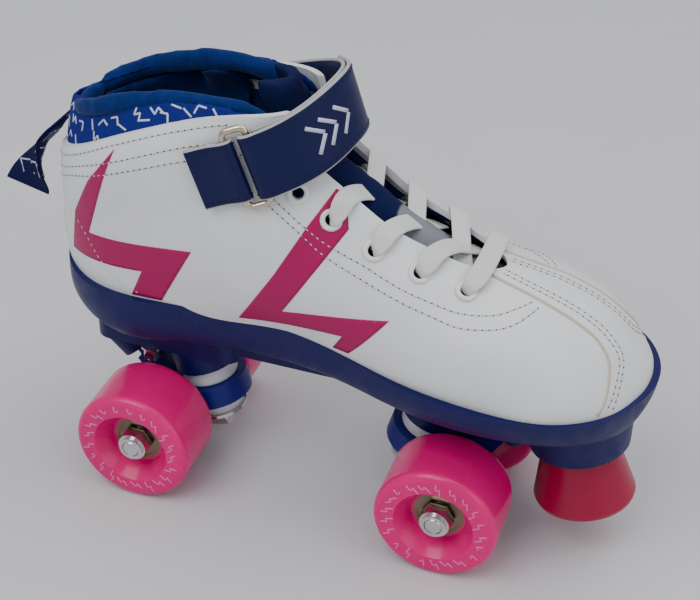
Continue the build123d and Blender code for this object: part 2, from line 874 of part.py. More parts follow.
def on_ring(forward, along, out):
    """Point in the ring's frame."""
    plane = ring_plane()
    return plane.origin + plane.x_dir * forward + plane.y_dir * along + plane.z_dir * out


def strap_ring():
    """Rectangular wire ring."""
    with BuildSketch(ring_plane()) as outline:
        RectangleRounded(RING_GAP, RING_LEN, 3)
    path = outline.sketch.faces()[0].outer_wire()
    with BuildPart() as part:
        with BuildSketch(Plane(origin=path @ 0, z_dir=path % 0)):
            Circle(WIRE_R)
        sweep(path=path)
    return part


def across_ring(forward):
    """Plane across a long bar of the ring, local x forward and local y outwards."""
    plane = ring_plane()
    return Plane(origin=on_ring(forward, 0, 0), x_dir=plane.x_dir, z_dir=-plane.y_dir)


def strap_tab():
    """Folded tab sewn to the boot that holds the ring's rear bar."""
    loop = WIRE_R + 1.3
    back = -TAB_LEN
    with BuildPart() as part:
        with BuildSketch(across_ring(-RING_GAP / 2)):
            Circle(loop)
            with BuildLine():
                Polyline((0, loop), (-7, -0.4), (back, -0.6), (back, -loop - 0.4), (-4, -loop), (0, -loop), close=True)
            make_face()
            Circle(WIRE_R + 0.05, mode=Mode.SUBTRACT)
        extrude(amount=TAB_W / 2, both=True)
    return part


def strap_sections(points):
    """Planes across the strap at each centre point."""
    planes = []
    for i, point in enumerate(points):
        before = Vector(*points[max(0, i - 1)])
        after = Vector(*points[min(len(points) - 1, i + 1)])
        planes.append(Plane(origin=point, x_dir=STRAP_LEAN, z_dir=after - before))
    return planes


def strap_base():
    """Inner run of the strap, from just in front of the ring round the ankle to the inner side."""
    start = on_ring(RING_GAP / 2 + 2 * WIRE_R + 0.4, 0, -WIRE_R)
    with BuildPart() as part:
        for plane in strap_sections([tuple(start), *STRAP_LINE]):
            with BuildSketch(plane):
                Rectangle(STRAP_W, STRAP_T)
        loft()
    return part


def strap_flap():
    """Outer run of the strap, folded back over the ring's front bar."""
    inner = WIRE_R + 0.35
    start = on_ring(RING_GAP / 2, 0, inner + STRAP_T / 2)
    middle = strap_sections(STRAP_LINE)[:FLAP_POINTS]
    outward = [plane.origin + plane.y_dir * (STRAP_T + STRAP_GAP) for plane in middle]
    with BuildPart() as part:
        for plane in strap_sections([tuple(start), *[tuple(point) for point in outward]]):
            with BuildSketch(plane):
                Rectangle(STRAP_W, STRAP_T)
        loft()
        with BuildSketch(across_ring(RING_GAP / 2)):
            Circle(inner + STRAP_T)
            Circle(inner, mode=Mode.SUBTRACT)
            with Locations((-5, 5)):
                Rectangle(10, 10, mode=Mode.INTERSECT)
        extrude(amount=STRAP_W / 2, both=True)
    return part


def pull_tab():
    """Ribbon loop hanging from the back of the band."""
    with BuildPart() as part:
        for i, (point, across) in enumerate(PULL_TAB):
            before = Vector(*PULL_TAB[max(0, i - 1)][0])
            after = Vector(*PULL_TAB[min(len(PULL_TAB) - 1, i + 1)][0])
            with BuildSketch(Plane(origin=point, x_dir=across, z_dir=after - before)):
                Rectangle(PULL_TAB_W, PULL_TAB_T)
        loft()
    return part


# ---------------------------------------------------------------- output

LAST = last(0)
UPPER = upper()

for end, place in ((1, "front"), (-1, "rear")):
    for side, hand in ((1, "inner"), (-1, "outer")):
        save(wheel(end, side), f"{place}_{hand}_wheel")
        save(outer_races(end, side), f"{place}_{hand}_outer_races")
    save(hanger(end), f"{place}_hanger")
    save(axle(end), f"{place}_axle")
    save(inner_races(end), f"{place}_inner_races")
    save(bearing_balls(end), f"{place}_bearing_balls")
    save(spacers(end), f"{place}_spacers")
    save(axle_washers(end), f"{place}_axle_washers")
    save(axle_nuts(end), f"{place}_axle_nuts")
    save(kingpin(end), f"{place}_kingpin")
    save(kingpin_nut(end), f"{place}_kingpin_nut")
    save(kingpin_washer(end), f"{place}_kingpin_washer")
    save(upper_cushion(end), f"{place}_upper_cushion")
    save(lower_cushion(end), f"{place}_lower_cushion")
    save(pivot_cup(end), f"{place}_pivot_cup")
save(sole_plate(), "sole_plate")
save(plate_bolts(), "plate_bolts")
save(plate_nuts(), "plate_nuts")
save(toe_stop(), "toe_stop")
save(stop_stem(), "toe_stop_stem")
save(lasting_board(), "lasting_board")
save(insole(), "insole")
save(lining(), "lining")
save(quarter(-1), "outer_quarter")
save(quarter(1), "inner_quarter")
save(vamp(), "vamp")
save(heel_strip(), "heel_strip")
save(collar_band(), "collar_band")
save(cuff(), "cuff")
save(tongue(), "tongue")
save(eyelets(), "eyelets")
save(lace(), "lace")
save(strap_ring(), "strap_ring")
save(strap_tab(), "strap_tab")
save(strap_base(), "strap_base")
save(strap_flap(), "strap_flap")
save(pull_tab(), "pull_tab")
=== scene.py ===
import json
import math
import random

import bmesh
import bpy
from mathutils import Matrix, Quaternion, Vector, noise
from mathutils.bvhtree import BVHTree


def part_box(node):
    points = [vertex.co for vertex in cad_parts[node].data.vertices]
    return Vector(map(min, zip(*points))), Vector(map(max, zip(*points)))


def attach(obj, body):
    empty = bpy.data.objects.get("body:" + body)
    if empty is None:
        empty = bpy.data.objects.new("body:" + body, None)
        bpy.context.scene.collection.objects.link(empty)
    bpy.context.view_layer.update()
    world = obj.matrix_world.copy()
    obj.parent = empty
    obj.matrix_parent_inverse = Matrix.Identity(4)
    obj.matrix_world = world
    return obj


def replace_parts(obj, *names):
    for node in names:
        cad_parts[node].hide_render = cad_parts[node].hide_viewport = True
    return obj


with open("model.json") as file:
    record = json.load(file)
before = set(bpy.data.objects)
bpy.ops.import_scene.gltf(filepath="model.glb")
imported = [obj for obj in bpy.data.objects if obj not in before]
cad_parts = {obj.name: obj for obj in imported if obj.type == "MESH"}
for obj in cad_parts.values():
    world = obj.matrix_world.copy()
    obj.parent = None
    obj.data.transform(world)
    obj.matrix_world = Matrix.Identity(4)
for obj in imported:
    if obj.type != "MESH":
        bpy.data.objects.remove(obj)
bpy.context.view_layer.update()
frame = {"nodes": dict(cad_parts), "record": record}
nodes = frame["nodes"]

# ---------------------------------------------------------------- material helpers


class Maker:
    """Builds one node material around a Principled shader."""

    def __init__(self, name, color, rough=0.5, **inputs):
        self.mat = bpy.data.materials.new(name)
        self.mat.use_nodes = True
        self.tree = self.mat.node_tree
        self.shader = self.tree.nodes["Principled BSDF"]
        self.shader.inputs["Base Color"].default_value = (*color, 1)
        self.shader.inputs["Roughness"].default_value = rough
        for key, value in inputs.items():
            self.shader.inputs[key.replace("_", " ")].default_value = value
        coords = self.tree.nodes.new("ShaderNodeTexCoord")
        self.coords = coords.outputs["Object"]
        self.uv = coords.outputs["UV"]
        self.height = None

    def node(self, kind, **inputs):
        made = self.tree.nodes.new(kind)
        for key, value in inputs.items():
            self.plug(value, made.inputs[key.replace("_", " ")])
        return made

    def plug(self, value, socket):
        if isinstance(value, bpy.types.NodeSocket):
            self.tree.links.new(value, socket)
        else:
            socket.default_value = value

    def noise(self, scale, detail=4.0, rough=0.55, vector=None, stretch=None):
        vector = vector or self.coords
        if stretch:
            mapped = self.node("ShaderNodeMapping", Vector=vector)
            mapped.inputs["Scale"].default_value = stretch
            vector = mapped.outputs["Vector"]
        made = self.node("ShaderNodeTexNoise", Vector=vector, Scale=scale, Detail=detail, Roughness=rough)
        return made.outputs["Fac"]

    def cells(self, scale, feature="F1", vector=None):
        made = self.tree.nodes.new("ShaderNodeTexVoronoi")
        made.feature = feature
        self.plug(vector or self.coords, made.inputs["Vector"])
        made.inputs["Scale"].default_value = scale
        return made.outputs["Distance"]

    def wave(self, scale, vector, direction="X", distortion=0.0):
        made = self.tree.nodes.new("ShaderNodeTexWave")
        made.bands_direction = direction
        self.plug(vector, made.inputs["Vector"])
        made.inputs["Scale"].default_value = scale
        made.inputs["Distortion"].default_value = distortion
        return made.outputs["Fac"]

    def math(self, operation, first, second=0.0):
        made = self.tree.nodes.new("ShaderNodeMath")
        made.operation = operation
        self.plug(first, made.inputs[0])
        self.plug(second, made.inputs[1])
        return made.outputs[0]

    def ramp(self, value, stops):
        made = self.node("ShaderNodeValToRGB", Fac=value)
        elements = made.color_ramp.elements
        while len(elements) < len(stops):
            elements.new(0.5)
        for element, (position, color) in zip(elements, stops):
            element.position = position
            element.color = color if len(color) == 4 else (*color, 1)
        return made.outputs["Color"]

    def grey(self, value, low, high, start=0.0, end=1.0):
        made = self.tree.nodes.new("ShaderNodeMapRange")
        self.plug(value, made.inputs["Value"])
        made.inputs["From Min"].default_value = start
        made.inputs["From Max"].default_value = end
        made.inputs["To Min"].default_value = low
        made.inputs["To Max"].default_value = high
        return made.outputs["Result"]

    def color_from(self, value, stops):
        self.plug(self.ramp(value, stops), self.shader.inputs["Base Color"])
        return self

    def rough_from(self, value, low, high):
        self.plug(self.grey(value, low, high, 0.3, 0.7), self.shader.inputs["Roughness"])
        return self

    def bump(self, value, strength, distance):
        made = self.node("ShaderNodeBump", Height=value)
        made.inputs["Strength"].default_value = strength
        made.inputs["Distance"].default_value = distance
        if self.height:
            self.plug(self.height, made.inputs["Normal"])
        self.height = made.outputs["Normal"]
        self.plug(self.height, self.shader.inputs["Normal"])
        return self


def shade(color, factor):
    return tuple(min(1.0, channel * factor) for channel in color)


def spread(color, amount=0.12):
    """Ramp stops a little darker and lighter than a colour."""
    return [(0.3, shade(color, 1 - amount)), (0.7, shade(color, 1 + amount))]


# ---------------------------------------------------------------- materials


def leather(name, color, rough=0.42, grain=0.35, **inputs):
    """Coated leather with a fine grain and faint waves."""
    made = Maker(name, color, rough, **inputs)
    made.color_from(made.noise(60, 5), spread(color, 0.03))
    made.rough_from(made.noise(25, 3), rough - 0.05, rough + 0.1)
    made.bump(made.cells(1500), grain, 0.00012)
    made.bump(made.noise(700, 4), grain * 0.7, 0.00012)
    made.bump(made.noise(45, 3), 0.12, 0.0012)
    return made.mat


def moulded(name, color, rough=0.42, **inputs):
    """Smooth moulding with slightly uneven gloss."""
    made = Maker(name, color, rough, **inputs)
    made.color_from(made.noise(30, 4), spread(color, 0.08))
    made.rough_from(made.noise(90, 5), rough - 0.08, rough + 0.12)
    made.bump(made.noise(900, 3), 0.12, 0.0001)
    return made.mat


def speckled(name, color, rough=0.45, **inputs):
    """Moulding with a fine sparkle of lighter grains."""
    made = Maker(name, color, rough, **inputs)
    grains = [(0.35, shade(color, 0.8)), (0.62, shade(color, 1.1)), (0.74, shade(color, 2.6))]
    made.color_from(made.noise(1400, 2), grains)
    made.rough_from(made.noise(120, 5), rough - 0.1, rough + 0.12)
    made.bump(made.noise(1100, 3), 0.2, 0.0001)
    return made.mat


def knit(name, color):
    """Brushed knit: fine rows with a soft nap."""
    made = Maker(name, color, 0.95, Sheen_Weight=0.12, Sheen_Roughness=0.4, Specular_IOR_Level=0.1)
    made.color_from(made.noise(260, 5), spread(color, 0.25))
    made.bump(made.cells(1300), 0.6, 0.0003)
    made.bump(made.noise(150, 5), 0.25, 0.0008)
    return made.mat


def fabric(name, color, scale=900, bump=0.5, sheen=0.0, contrast=0.2):
    """Fine cloth; scale sets how small its cells are."""
    made = Maker(name, color, 0.9, Sheen_Weight=sheen, Sheen_Roughness=0.5, Specular_IOR_Level=0.2)
    made.color_from(made.noise(scale * 0.4, 5), spread(color, contrast))
    made.bump(made.cells(scale), bump, 0.0003)
    made.bump(made.noise(40, 3), 0.2, 0.002)
    return made.mat


def two_cloths(name, behind, ahead, seam):
    """Cloth that changes colour across a seam at one x."""
    made = Maker(name, behind, 0.9, Specular_IOR_Level=0.2)
    split = made.node("ShaderNodeSeparateXYZ", Vector=made.coords).outputs["X"]
    made.color_from(made.grey(split, 0, 1, seam - 0.0005, seam + 0.0005), [(0, behind), (1, ahead)])
    made.bump(made.cells(800), 0.5, 0.0003)
    made.bump(made.noise(40, 3), 0.2, 0.002)
    return made.mat


def woven_tape(name, color):
    """Flat knitted tape whose ribs follow its width and length, with painted shade in the grooves between
    them.
    """
    made = Maker(name, color, 0.85, Sheen_Weight=0.2)
    across = made.wave(330, made.uv, "X")
    along = made.wave(430, made.uv, "Y")
    knit = made.math("MULTIPLY", across, along)
    # The colour follows the rib height, so the grooves between the ribs are painted darker as shade.
    made.color_from(knit, [(0.0, shade(color, 0.84)), (0.6, shade(color, 1.05))])
    made.bump(knit, 0.7, 0.0003)
    made.bump(made.noise(500, 4), 0.3, 0.0002)
    return made.mat


def metal(name, color, rough=0.2):
    """Plated metal with slightly uneven gloss."""
    made = Maker(name, color, rough, Metallic=1.0)
    made.rough_from(made.noise(140, 4), rough * 0.7, rough * 1.5)
    made.color_from(made.noise(50, 3), spread(color, 0.1))
    made.bump(made.noise(500, 3), 0.05, 0.0001)
    return made.mat


PINK = (0.70, 0.0015, 0.165)
WHITE = (0.72, 0.73, 0.74)
ROYAL = (0.004, 0.012, 0.16)
NAVY = (0.0022, 0.0045, 0.055)
KNIT = (0.004, 0.022, 0.125)
PLATE = (0.0012, 0.0028, 0.075)
TRUCK = (0.002, 0.006, 0.16)

RUBBERY = {"Subsurface_Scale": 0.003, "Specular_IOR_Level": 0.35}

MATERIALS = {
    "wheel": moulded("wheel_urethane", PINK, 0.2, Subsurface_Weight=0.2, **RUBBERY),
    "bearing_steel": metal("bearing_steel", (0.22, 0.17, 0.12), 0.3),
    "chrome_steel": metal("plated_steel", (0.62, 0.60, 0.60), 0.16),
    "truck_plastic": moulded("truck_moulding", TRUCK, 0.4, Specular_IOR_Level=0.3),
    "plate_plastic": speckled("plate_moulding", PLATE, 0.45, Specular_IOR_Level=0.3),
    "cushion": moulded(
        "cushion_urethane", (0.62, 0.64, 0.68), 0.3, Subsurface_Weight=0.2, Subsurface_Scale=0.003
    ),
    "cup_rubber": moulded("cup_rubber", (0.02, 0.02, 0.022), 0.6),
    "toe_stop": moulded("toe_stop_rubber", (0.33, 0.001, 0.04), 0.32, Subsurface_Weight=0.1, **RUBBERY),
    "upper_white": leather("white_leather", WHITE),
    "raw_edge": leather("raw_edge", (0.55, 0.50, 0.38), 0.8, 0.6),
    "lining_blue": fabric("lining_cloth", (0.003, 0.012, 0.07), 700, 0.5, 0.0),
    "board": moulded("fibre_board", (0.2, 0.15, 0.1), 0.8),
    "band_print": fabric("band_cloth", ROYAL, 1100, 0.35, 0.0, 0.1),
    "cuff_knit": knit("cuff_knit", KNIT),
    # Tongue cloth: navy behind the seam; ahead of it a whitish cloth, painted a darker grey as shade under
    # the laces.
    "tongue_navy": two_cloths("tongue_cloth_painted_shade", (0.002, 0.006, 0.05), (0.20, 0.21, 0.24), 0.034),
    "eyelet_white": moulded("eyelet_enamel", (0.75, 0.75, 0.75), 0.25),
    "lace_white": woven_tape("lace_weave", (0.74, 0.74, 0.73)),
    "strap_navy": leather("strap_leather", NAVY, 0.42, 0.3, Specular_IOR_Level=0.25),
    "ring_metal": metal("ring_metal", (0.60, 0.52, 0.40), 0.18),
}

MATERIALS.update(
    thread_white=fabric("white_thread", (0.60, 0.60, 0.60), 2500, 0.3, 0.0, 0.05),
    # Dark grey dashes between the white stitches: painted shade in the needle holes.
    thread_hole=fabric("needle_hole_shade", (0.10, 0.10, 0.11), 2500, 0.3, 0.0, 0.1),
    thread_blue=fabric("blue_thread", (0.008, 0.012, 0.06), 2500, 0.3, 0.0, 0.1),
    bolt_pink=leather("printed_pink", (0.36, 0.0006, 0.088), 0.42, 0.3, Specular_IOR_Level=0.3),
    print_white=moulded("white_print", (0.50, 0.53, 0.66), 0.6),
    print_lilac=moulded("lilac_print", (0.42, 0.42, 0.62), 0.6),
    wheel_ink=moulded("wheel_ink", (0.92, 0.13, 0.42), 0.25),
    strap_core=leather("strap_core", (0.40, 0.40, 0.40), 0.75, 0.3),
    webbing_navy=fabric("loop_webbing", (0.003, 0.005, 0.045), 1200, 0.5, 0.0, 0.2),
)

for part in frame["record"]["subparts"]:
    target = nodes[part["node"]].data
    target.materials.clear()
    target.materials.append(MATERIALS[part["material_slot"]])

# ---------------------------------------------------------------- mesh helpers

BOOT = "boot_and_plate"
MM = 0.001
scene = bpy.context.scene
chance = random.Random(7)


def mm(points):
    """Points given in millimetres, in metres."""
    return [Vector(point) * MM for point in points]


def even(points, step):
    """Points a step apart along a polyline."""
    out = [points[0].copy()]
    left = step
    for a, b in zip(points, points[1:]):
        length = (b - a).length
        done = 0.0
        while length - done >= left:
            done += left
            out.append(a.lerp(b, done / length))
            left = step
        left -= length - done
    return out


def smooth(points, step):
    """Points a step apart on a smooth curve through these points."""
    ends = [points[0] * 2 - points[1], *points, points[-1] * 2 - points[-2]]
    dense = []
    for a, b, c, d in zip(ends, ends[1:], ends[2:], ends[3:]):
        for k in range(20):
            t = k / 20
            bend = (2 * a - 5 * b + 4 * c - d) * t * t + (3 * b - a - 3 * c + d) * t**3
            dense.append(0.5 * (2 * b + (c - a) * t + bend))
    dense.append(points[-1])
    return even(dense, step)


def surface(*objects):
    """Search tree over the meshes of several objects."""
    points, faces = [], []
    for item in objects:
        first = len(points)
        points += [v.co.copy() for v in item.data.vertices]
        faces += [[first + i for i in p.vertices] for p in item.data.polygons]
    return BVHTree.FromPolygons(points, faces)


def meet(tree, start, heading):
    """Point and outward normal where a ray first meets a surface, or None."""
    spot, normal, _, _ = tree.ray_cast(start, heading)
    if spot is None:
        return None
    return spot, (-normal if normal.dot(heading) > 0 else normal)


def from_side(tree, x, z, side):
    return meet(tree, Vector((x, side * 0.2, z)), Vector((0, -side, 0)))


def from_above(tree, x, y):
    return meet(tree, Vector((x, y, 0.4)), Vector((0, 0, -1)))


def from_round(tree, point, centre):
    """Where the line from a centre through a point comes out of a surface."""
    heading = (point - centre).normalized()
    return meet(tree, centre + heading * 0.2, -heading)


def piece(name, bm, materials, body=BOOT, soft=True):
    """Object from a finished bmesh, riding on a body."""
    bmesh.ops.recalc_face_normals(bm, faces=bm.faces)
    mesh = bpy.data.meshes.new(name)
    bm.to_mesh(mesh)
    bm.free()
    for material in materials:
        mesh.materials.append(material)
    for polygon in mesh.polygons:
        polygon.use_smooth = soft
    made = bpy.data.objects.new(name, mesh)
    scene.collection.objects.link(made)
    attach(made, body)
    return made


def tape_profile(width, thick, steps=8):
    """Flat cross-section with rounded edges."""
    half, edge = width / 2, thick / 2
    top = [(-half + edge + (width - 2 * edge) * k / steps, edge) for k in range(steps + 1)]
    bottom = [(a, -edge) for a, _ in reversed(top)]
    return [*top, (half - edge * 0.3, edge * 0.6), (half, 0), (half - edge * 0.3, -edge * 0.6)] + [
        *bottom,
        (-half + edge * 0.3, -edge * 0.6),
        (-half, 0),
        (-half + edge * 0.3, edge * 0.6),
    ]


def headings(path):
    """Unit direction of a path at each of its points."""
    last = len(path) - 1
    return [(path[min(i + 1, last)] - path[max(i - 1, 0)]).normalized() for i in range(len(path))]


def frames(path, ups):
    """Sideways and upward unit vectors along a path, from rough upward ones."""
    sides, tops = [], []
    for ahead, up in zip(headings(path), ups):
        side = ahead.cross(up).normalized()
        sides.append(side)
        tops.append(side.cross(ahead).normalized())
    return sides, tops


def sweep(bm, path, ups, profile, widths=None, edge_material=0):
    """Closed sweep of a profile, with its width and length in metres as UV."""
    uv = bm.loops.layers.uv.verify()
    sides, tops = frames(path, ups)
    rings, spots, along = [], {}, 0.0
    for i, point in enumerate(path):
        along += (point - path[i - 1]).length if i else 0.0
        scale = widths[i] if widths else 1.0
        row = [bm.verts.new(point + sides[i] * a * scale + tops[i] * b) for a, b in profile]
        for vert, (a, _) in zip(row, profile):
            spots[vert] = (a, along)
        rings.append(row)
    made = [bm.faces.new(list(reversed(rings[0]))), bm.faces.new(rings[-1])]
    count = len(profile)
    for low, high in zip(rings, rings[1:]):
        for k in range(count):
            j = (k + 1) % count
            face = bm.faces.new((low[k], low[j], high[j], high[k]))
            flat = abs(profile[k][1] - profile[j][1]) < 1e-6
            face.material_index = 0 if flat else edge_material
            made.append(face)
    for face in made:
        for loop in face.loops:
            loop[uv].uv = spots[loop.vert]


BEAD = [(math.cos(math.radians(a)), math.sin(math.radians(a))) for a in range(0, 360, 60)]


def dash(bm, a, b, normal, radius, lift=0.3):
    """One stitch or mark lying on a surface."""
    up = normal.normalized()
    path = [a.lerp(b, t) + up * radius * (lift if 0 < t < 1 else lift - 0.5) for t in (0, 0.2, 0.5, 0.8, 1)]
    sides, tops = frames(path, [up] * 5)
    rings = []
    for point, side, top, size in zip(path, sides, tops, (0.35, 0.95, 1, 0.95, 0.35)):
        rings.append([bm.verts.new(point + (side * x + top * y) * radius * size) for x, y in BEAD])
    bm.faces.new(list(reversed(rings[0])))
    bm.faces.new(rings[-1])
    for low, high in zip(rings, rings[1:]):
        for k in range(6):
            j = (k + 1) % 6
            bm.faces.new((low[k], low[j], high[j], high[k]))


def stitch_row(thread, hole_shade, spots):
    """Raised threads with dark dashes between them as painted shade in the needle holes, along (point,
    normal) spots half a pitch apart.
    """
    spots = [spot for spot in spots if spot]
    for (a, n, *_), (b, _, *_) in zip(spots[::2], spots[1::2]):
        if (b - a).length < 0.004:
            dash(thread, a, b, n, 0.00030)
    for (a, n, *_), (b, _, *_) in zip(spots[1::2], spots[2::2]):
        if hole_shade is not None and (b - a).length < 0.004:
            dash(hole_shade, a.lerp(b, 0.15), a.lerp(b, 0.85), n, 0.00030, 0.05)


def ribbon(bm, spots, width, height):
    """Thin flat strip lying on a surface along (point, normal) spots."""
    path = [p + n * height * 0.4 for p, n in spots]
    half, top = width / 2, height * 0.5
    profile = [(-half, -height), (half, -height), (half, top), (-half, top)]
    sweep(bm, path, [n for _, n in spots], profile)


def patch(bm, outline, place, lift=0.00012, thick=0.00012, cell=0.003):
    """Flat outline cut into small triangles and laid on a surface."""
    flat = bmesh.new()
    flat.faces.new([flat.verts.new((a, b, 0)) for a, b in outline])
    bmesh.ops.triangulate(flat, faces=flat.faces)
    while True:
        long = [e for e in flat.edges if e.calc_length() > cell]
        if not long:
            break
        bmesh.ops.subdivide_edges(flat, edges=long, cuts=1)
        bmesh.ops.triangulate(flat, faces=[f for f in flat.faces if len(f.verts) > 3])
    laid = {}
    for vert in flat.verts:
        spot = place(vert.co.x, vert.co.y)
        if spot:
            top = spot[0] + spot[1] * (lift + thick)
            laid[vert] = (bm.verts.new(top), bm.verts.new(spot[0] - spot[1] * 0.0002))
    for face in flat.faces:
        if all(v in laid for v in face.verts):
            bm.faces.new([laid[v][0] for v in face.verts])
            bm.faces.new([laid[v][1] for v in reversed(face.verts)])
    for edge in flat.edges:
        if len(edge.link_faces) == 1 and all(v in laid for v in edge.verts):
            a, b = edge.verts
            bm.faces.new((laid[a][0], laid[b][0], laid[b][1], laid[a][1]))
    flat.free()


def route(points):
    """Points on the NURBS curve of these control points, half a millimetre apart."""
    curve = bpy.data.curves.new("route", "CURVE")
    curve.dimensions = "3D"
    spline = curve.splines.new("NURBS")
    spline.points.add(len(points) - 1)
    for target, point in zip(spline.points, points):
        target.co = (*point, 1)
    spline.order_u = 3
    spline.use_endpoint_u = True
    spline.resolution_u = 24
    holder = bpy.data.objects.new("route", curve)
    scene.collection.objects.link(holder)
    bpy.context.view_layer.update()
    mesh = bpy.data.meshes.new_from_object(holder)
    line = [v.co.copy() for v in mesh.vertices]
    bpy.data.objects.remove(holder)
    bpy.data.curves.remove(curve)
    bpy.data.meshes.remove(mesh)
    return even(line, 0.0005)


def mix_ups(count, ups):
    """Upward vectors spread evenly over a path."""
    out = []
    for i in range(count):
        place = i / max(1, count - 1) * (len(ups) - 1)
        k = min(int(place), len(ups) - 2)
        out.append(ups[k].lerp(ups[k + 1], place - k).normalized())
    return out


# ---------------------------------------------------------------- soft pieces

COLLAR_X = -0.060


def soft_copy(name, node, voxel, material):
    """Evenly meshed copy of a CAD node that stands for it."""
    made = bpy.data.objects.new(name, nodes[node].data.copy())
    scene.collection.objects.link(made)
    made.modifiers.new("even", "REMESH").mode = "VOXEL"
    made.modifiers["even"].voxel_size = voxel
    bpy.context.view_layer.update()
    mesh = bpy.data.meshes.new_from_object(made.evaluated_get(bpy.context.evaluated_depsgraph_get()))
    made.modifiers.clear()
    made.data = mesh
    mesh.materials.clear()
    mesh.materials.append(material)
    for polygon in mesh.polygons:
        polygon.use_smooth = True
    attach(made, BOOT)
    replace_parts(made, node)
    return made


def relax(made, times):
    """Even out a mesh by moving each point towards its neighbours."""
    bm = bmesh.new()
    bm.from_mesh(made.data)
    every = {"use_axis_x": True, "use_axis_y": True, "use_axis_z": True}
    for _ in range(times):
        bmesh.ops.smooth_vert(bm, verts=bm.verts, factor=0.5, **every)
    bm.to_mesh(made.data)
    bm.free()


def puff(made, pressure, cap):
    """Cloth under pressure, with each point's movement capped, applied to the mesh."""
    rest = [v.co.copy() for v in made.data.vertices]
    cloth = made.modifiers.new("cloth", "CLOTH")
    cloth.settings.use_pressure = True
    cloth.settings.uniform_pressure_force = pressure
    cloth.settings.effector_weights.gravity = 0
    for step in range(1, 21):
        scene.frame_set(step)
    shaped = made.evaluated_get(bpy.context.evaluated_depsgraph_get())
    moved = [v.co.copy() for v in shaped.data.vertices]
    made.modifiers.remove(cloth)
    for vert, a, b in zip(made.data.vertices, rest, moved):
        shift = b - a
        vert.co = a + shift * min(1.0, cap / max(shift.length, 1e-9))
    scene.frame_set(1)


def subdivide(made):
    made.modifiers.new("fine", "SUBSURF").levels = 1
    mesh = bpy.data.meshes.new_from_object(made.evaluated_get(bpy.context.evaluated_depsgraph_get()))
    made.modifiers.clear()
    made.data = mesh


def crease(made, amount):
    """Move points along their normals by a function of place, in metres."""
    normals = [v.normal.copy() for v in made.data.vertices]
    for vert, normal in zip(made.data.vertices, normals):
        vert.co += normal * amount(vert.co)


def cuff_folds(spot):
    """Two shallow pleats in the roll near the heel."""
    angle = math.atan2(spot.y, COLLAR_X - spot.x)
    pleat = sum(math.exp(-(((angle - place) / 0.05) ** 2)) for place in (-0.12, 0.22))
    return -0.0012 * pleat + 0.0006 * noise.noise(spot * 45) + 0.00015 * noise.noise(spot * 260)


cuff = soft_copy("cuff_roll", "cuff", 0.0030, MATERIALS["cuff_knit"])
relax(cuff, 10)
puff(cuff, 4, 0.0022)
relax(cuff, 5)
subdivide(cuff)
crease(cuff, cuff_folds)

tongue = soft_copy("tongue_pad", "tongue", 0.0020, MATERIALS["tongue_navy"])
relax(tongue, 3)
puff(tongue, 2, 0.0008)
crease(tongue, lambda spot: 0.0008 * noise.noise(spot * 60) + 0.0004 * noise.noise(spot * 170))

band = soft_copy("collar_cloth", "collar_band", 0.0012, MATERIALS["band_print"])
relax(band, 3)
crease(band, lambda spot: 0.0005 * noise.noise(spot * 110))

# ---------------------------------------------------------------- collar lining

SOCK_TOP = ((-0.107, 0.168), (-0.092, 0.1765), (-0.072, 0.183), (-0.048, 0.1875), (-0.020, 0.185))
SOCK_FROM, SOCK_SWEEP = 60, 240
SOCK_COLUMNS, SOCK_ROWS = 73, 13
SOCK_DROP = 0.005
SOCK_SINK = 0.004
SOCK_GAP = 0.0012
SOCK_T = 0.0010
SOCK_REACH = 0.055
WALLS = [nodes[name] for name in ("lining", "outer_quarter", "inner_quarter", "heel_strip")]
INSIDE = surface(cuff, band, *WALLS)


def roll_height(x):
    """Height of the middle of the cuff roll at x."""
    x = min(max(x, SOCK_TOP[0][0]), SOCK_TOP[-1][0])
    for (a, low), (b, high) in zip(SOCK_TOP, SOCK_TOP[1:]):
        if x <= b:
            return low + (high - low) * (x - a) / (b - a)


def sock_column(angle):
    """Heading, axis points and radii down the inside of the collar at one angle."""
    heading = Vector((math.cos(angle), math.sin(angle), 0))
    top = roll_height(COLLAR_X + heading.x * 0.040) - SOCK_SINK
    axis = [Vector((COLLAR_X, 0, top - k * SOCK_DROP)) for k in range(SOCK_ROWS)]
    radii = []
    for middle in axis:
        spot = INSIDE.ray_cast(middle, heading)[0]
        reach = (spot - middle).length if spot else (radii[-1] if radii else 0.030)
        radii.append(min(reach, SOCK_REACH) - SOCK_GAP)
    return heading, axis, radii


def evened(rows, times):
    """Radii drawn towards their neighbours, never past where they started."""
    out = [list(row) for row in rows]
    for _ in range(times):
        for k in range(1, len(out) - 1):
            for r in range(1, len(out[k]) - 1):
                near = out[k - 1][r] + out[k + 1][r] + out[k][r - 1] + out[k][r + 1]
                out[k][r] = min(rows[k][r], near / 4)
    return out


def quad_strips(bm, grids):
    """Faces over grids of vertices."""
    for grid in grids:
        for a, b in zip(grid, grid[1:]):
            for r in range(len(a) - 1):
                bm.faces.new((a[r], b[r], b[r + 1], a[r + 1]))


turns = [math.radians(SOCK_FROM + SOCK_SWEEP * k / (SOCK_COLUMNS - 1)) for k in range(SOCK_COLUMNS)]
columns = [sock_column(angle) for angle in turns]
reaches = evened([column[2] for column in columns], 3)
sock = bmesh.new()
outer, inner = (
    [
        [sock.verts.new(m + heading * (r - depth)) for m, r in zip(axis, reach)]
        for (heading, axis, _), reach in zip(columns, reaches)
    ]
    for depth in (0.0, SOCK_T)
)
borders = [[(a[r], b[r]) for a, b in zip(outer, inner)] for r in (0, -1)]
borders += [list(zip(outer[k], inner[k])) for k in (0, -1)]
quad_strips(sock, [outer, inner, *borders])
piece("collar_sock", sock, [MATERIALS["cuff_knit"]])

# ---------------------------------------------------------------- boot details

UPPER = surface(*(nodes[name] for name in ("outer_quarter", "inner_quarter", "vamp", "heel_strip")))
BAND = surface(band)
HALF_PITCH = 0.0014
EDGE_STEP = 0.002


def side_row(points, side):
    """Spots along a curve drawn in the side view, in millimetres."""
    path = smooth([Vector((x, 0, z)) * MM for x, z in points], HALF_PITCH)
    return [from_side(UPPER, p.x, p.z, side) for p in path]


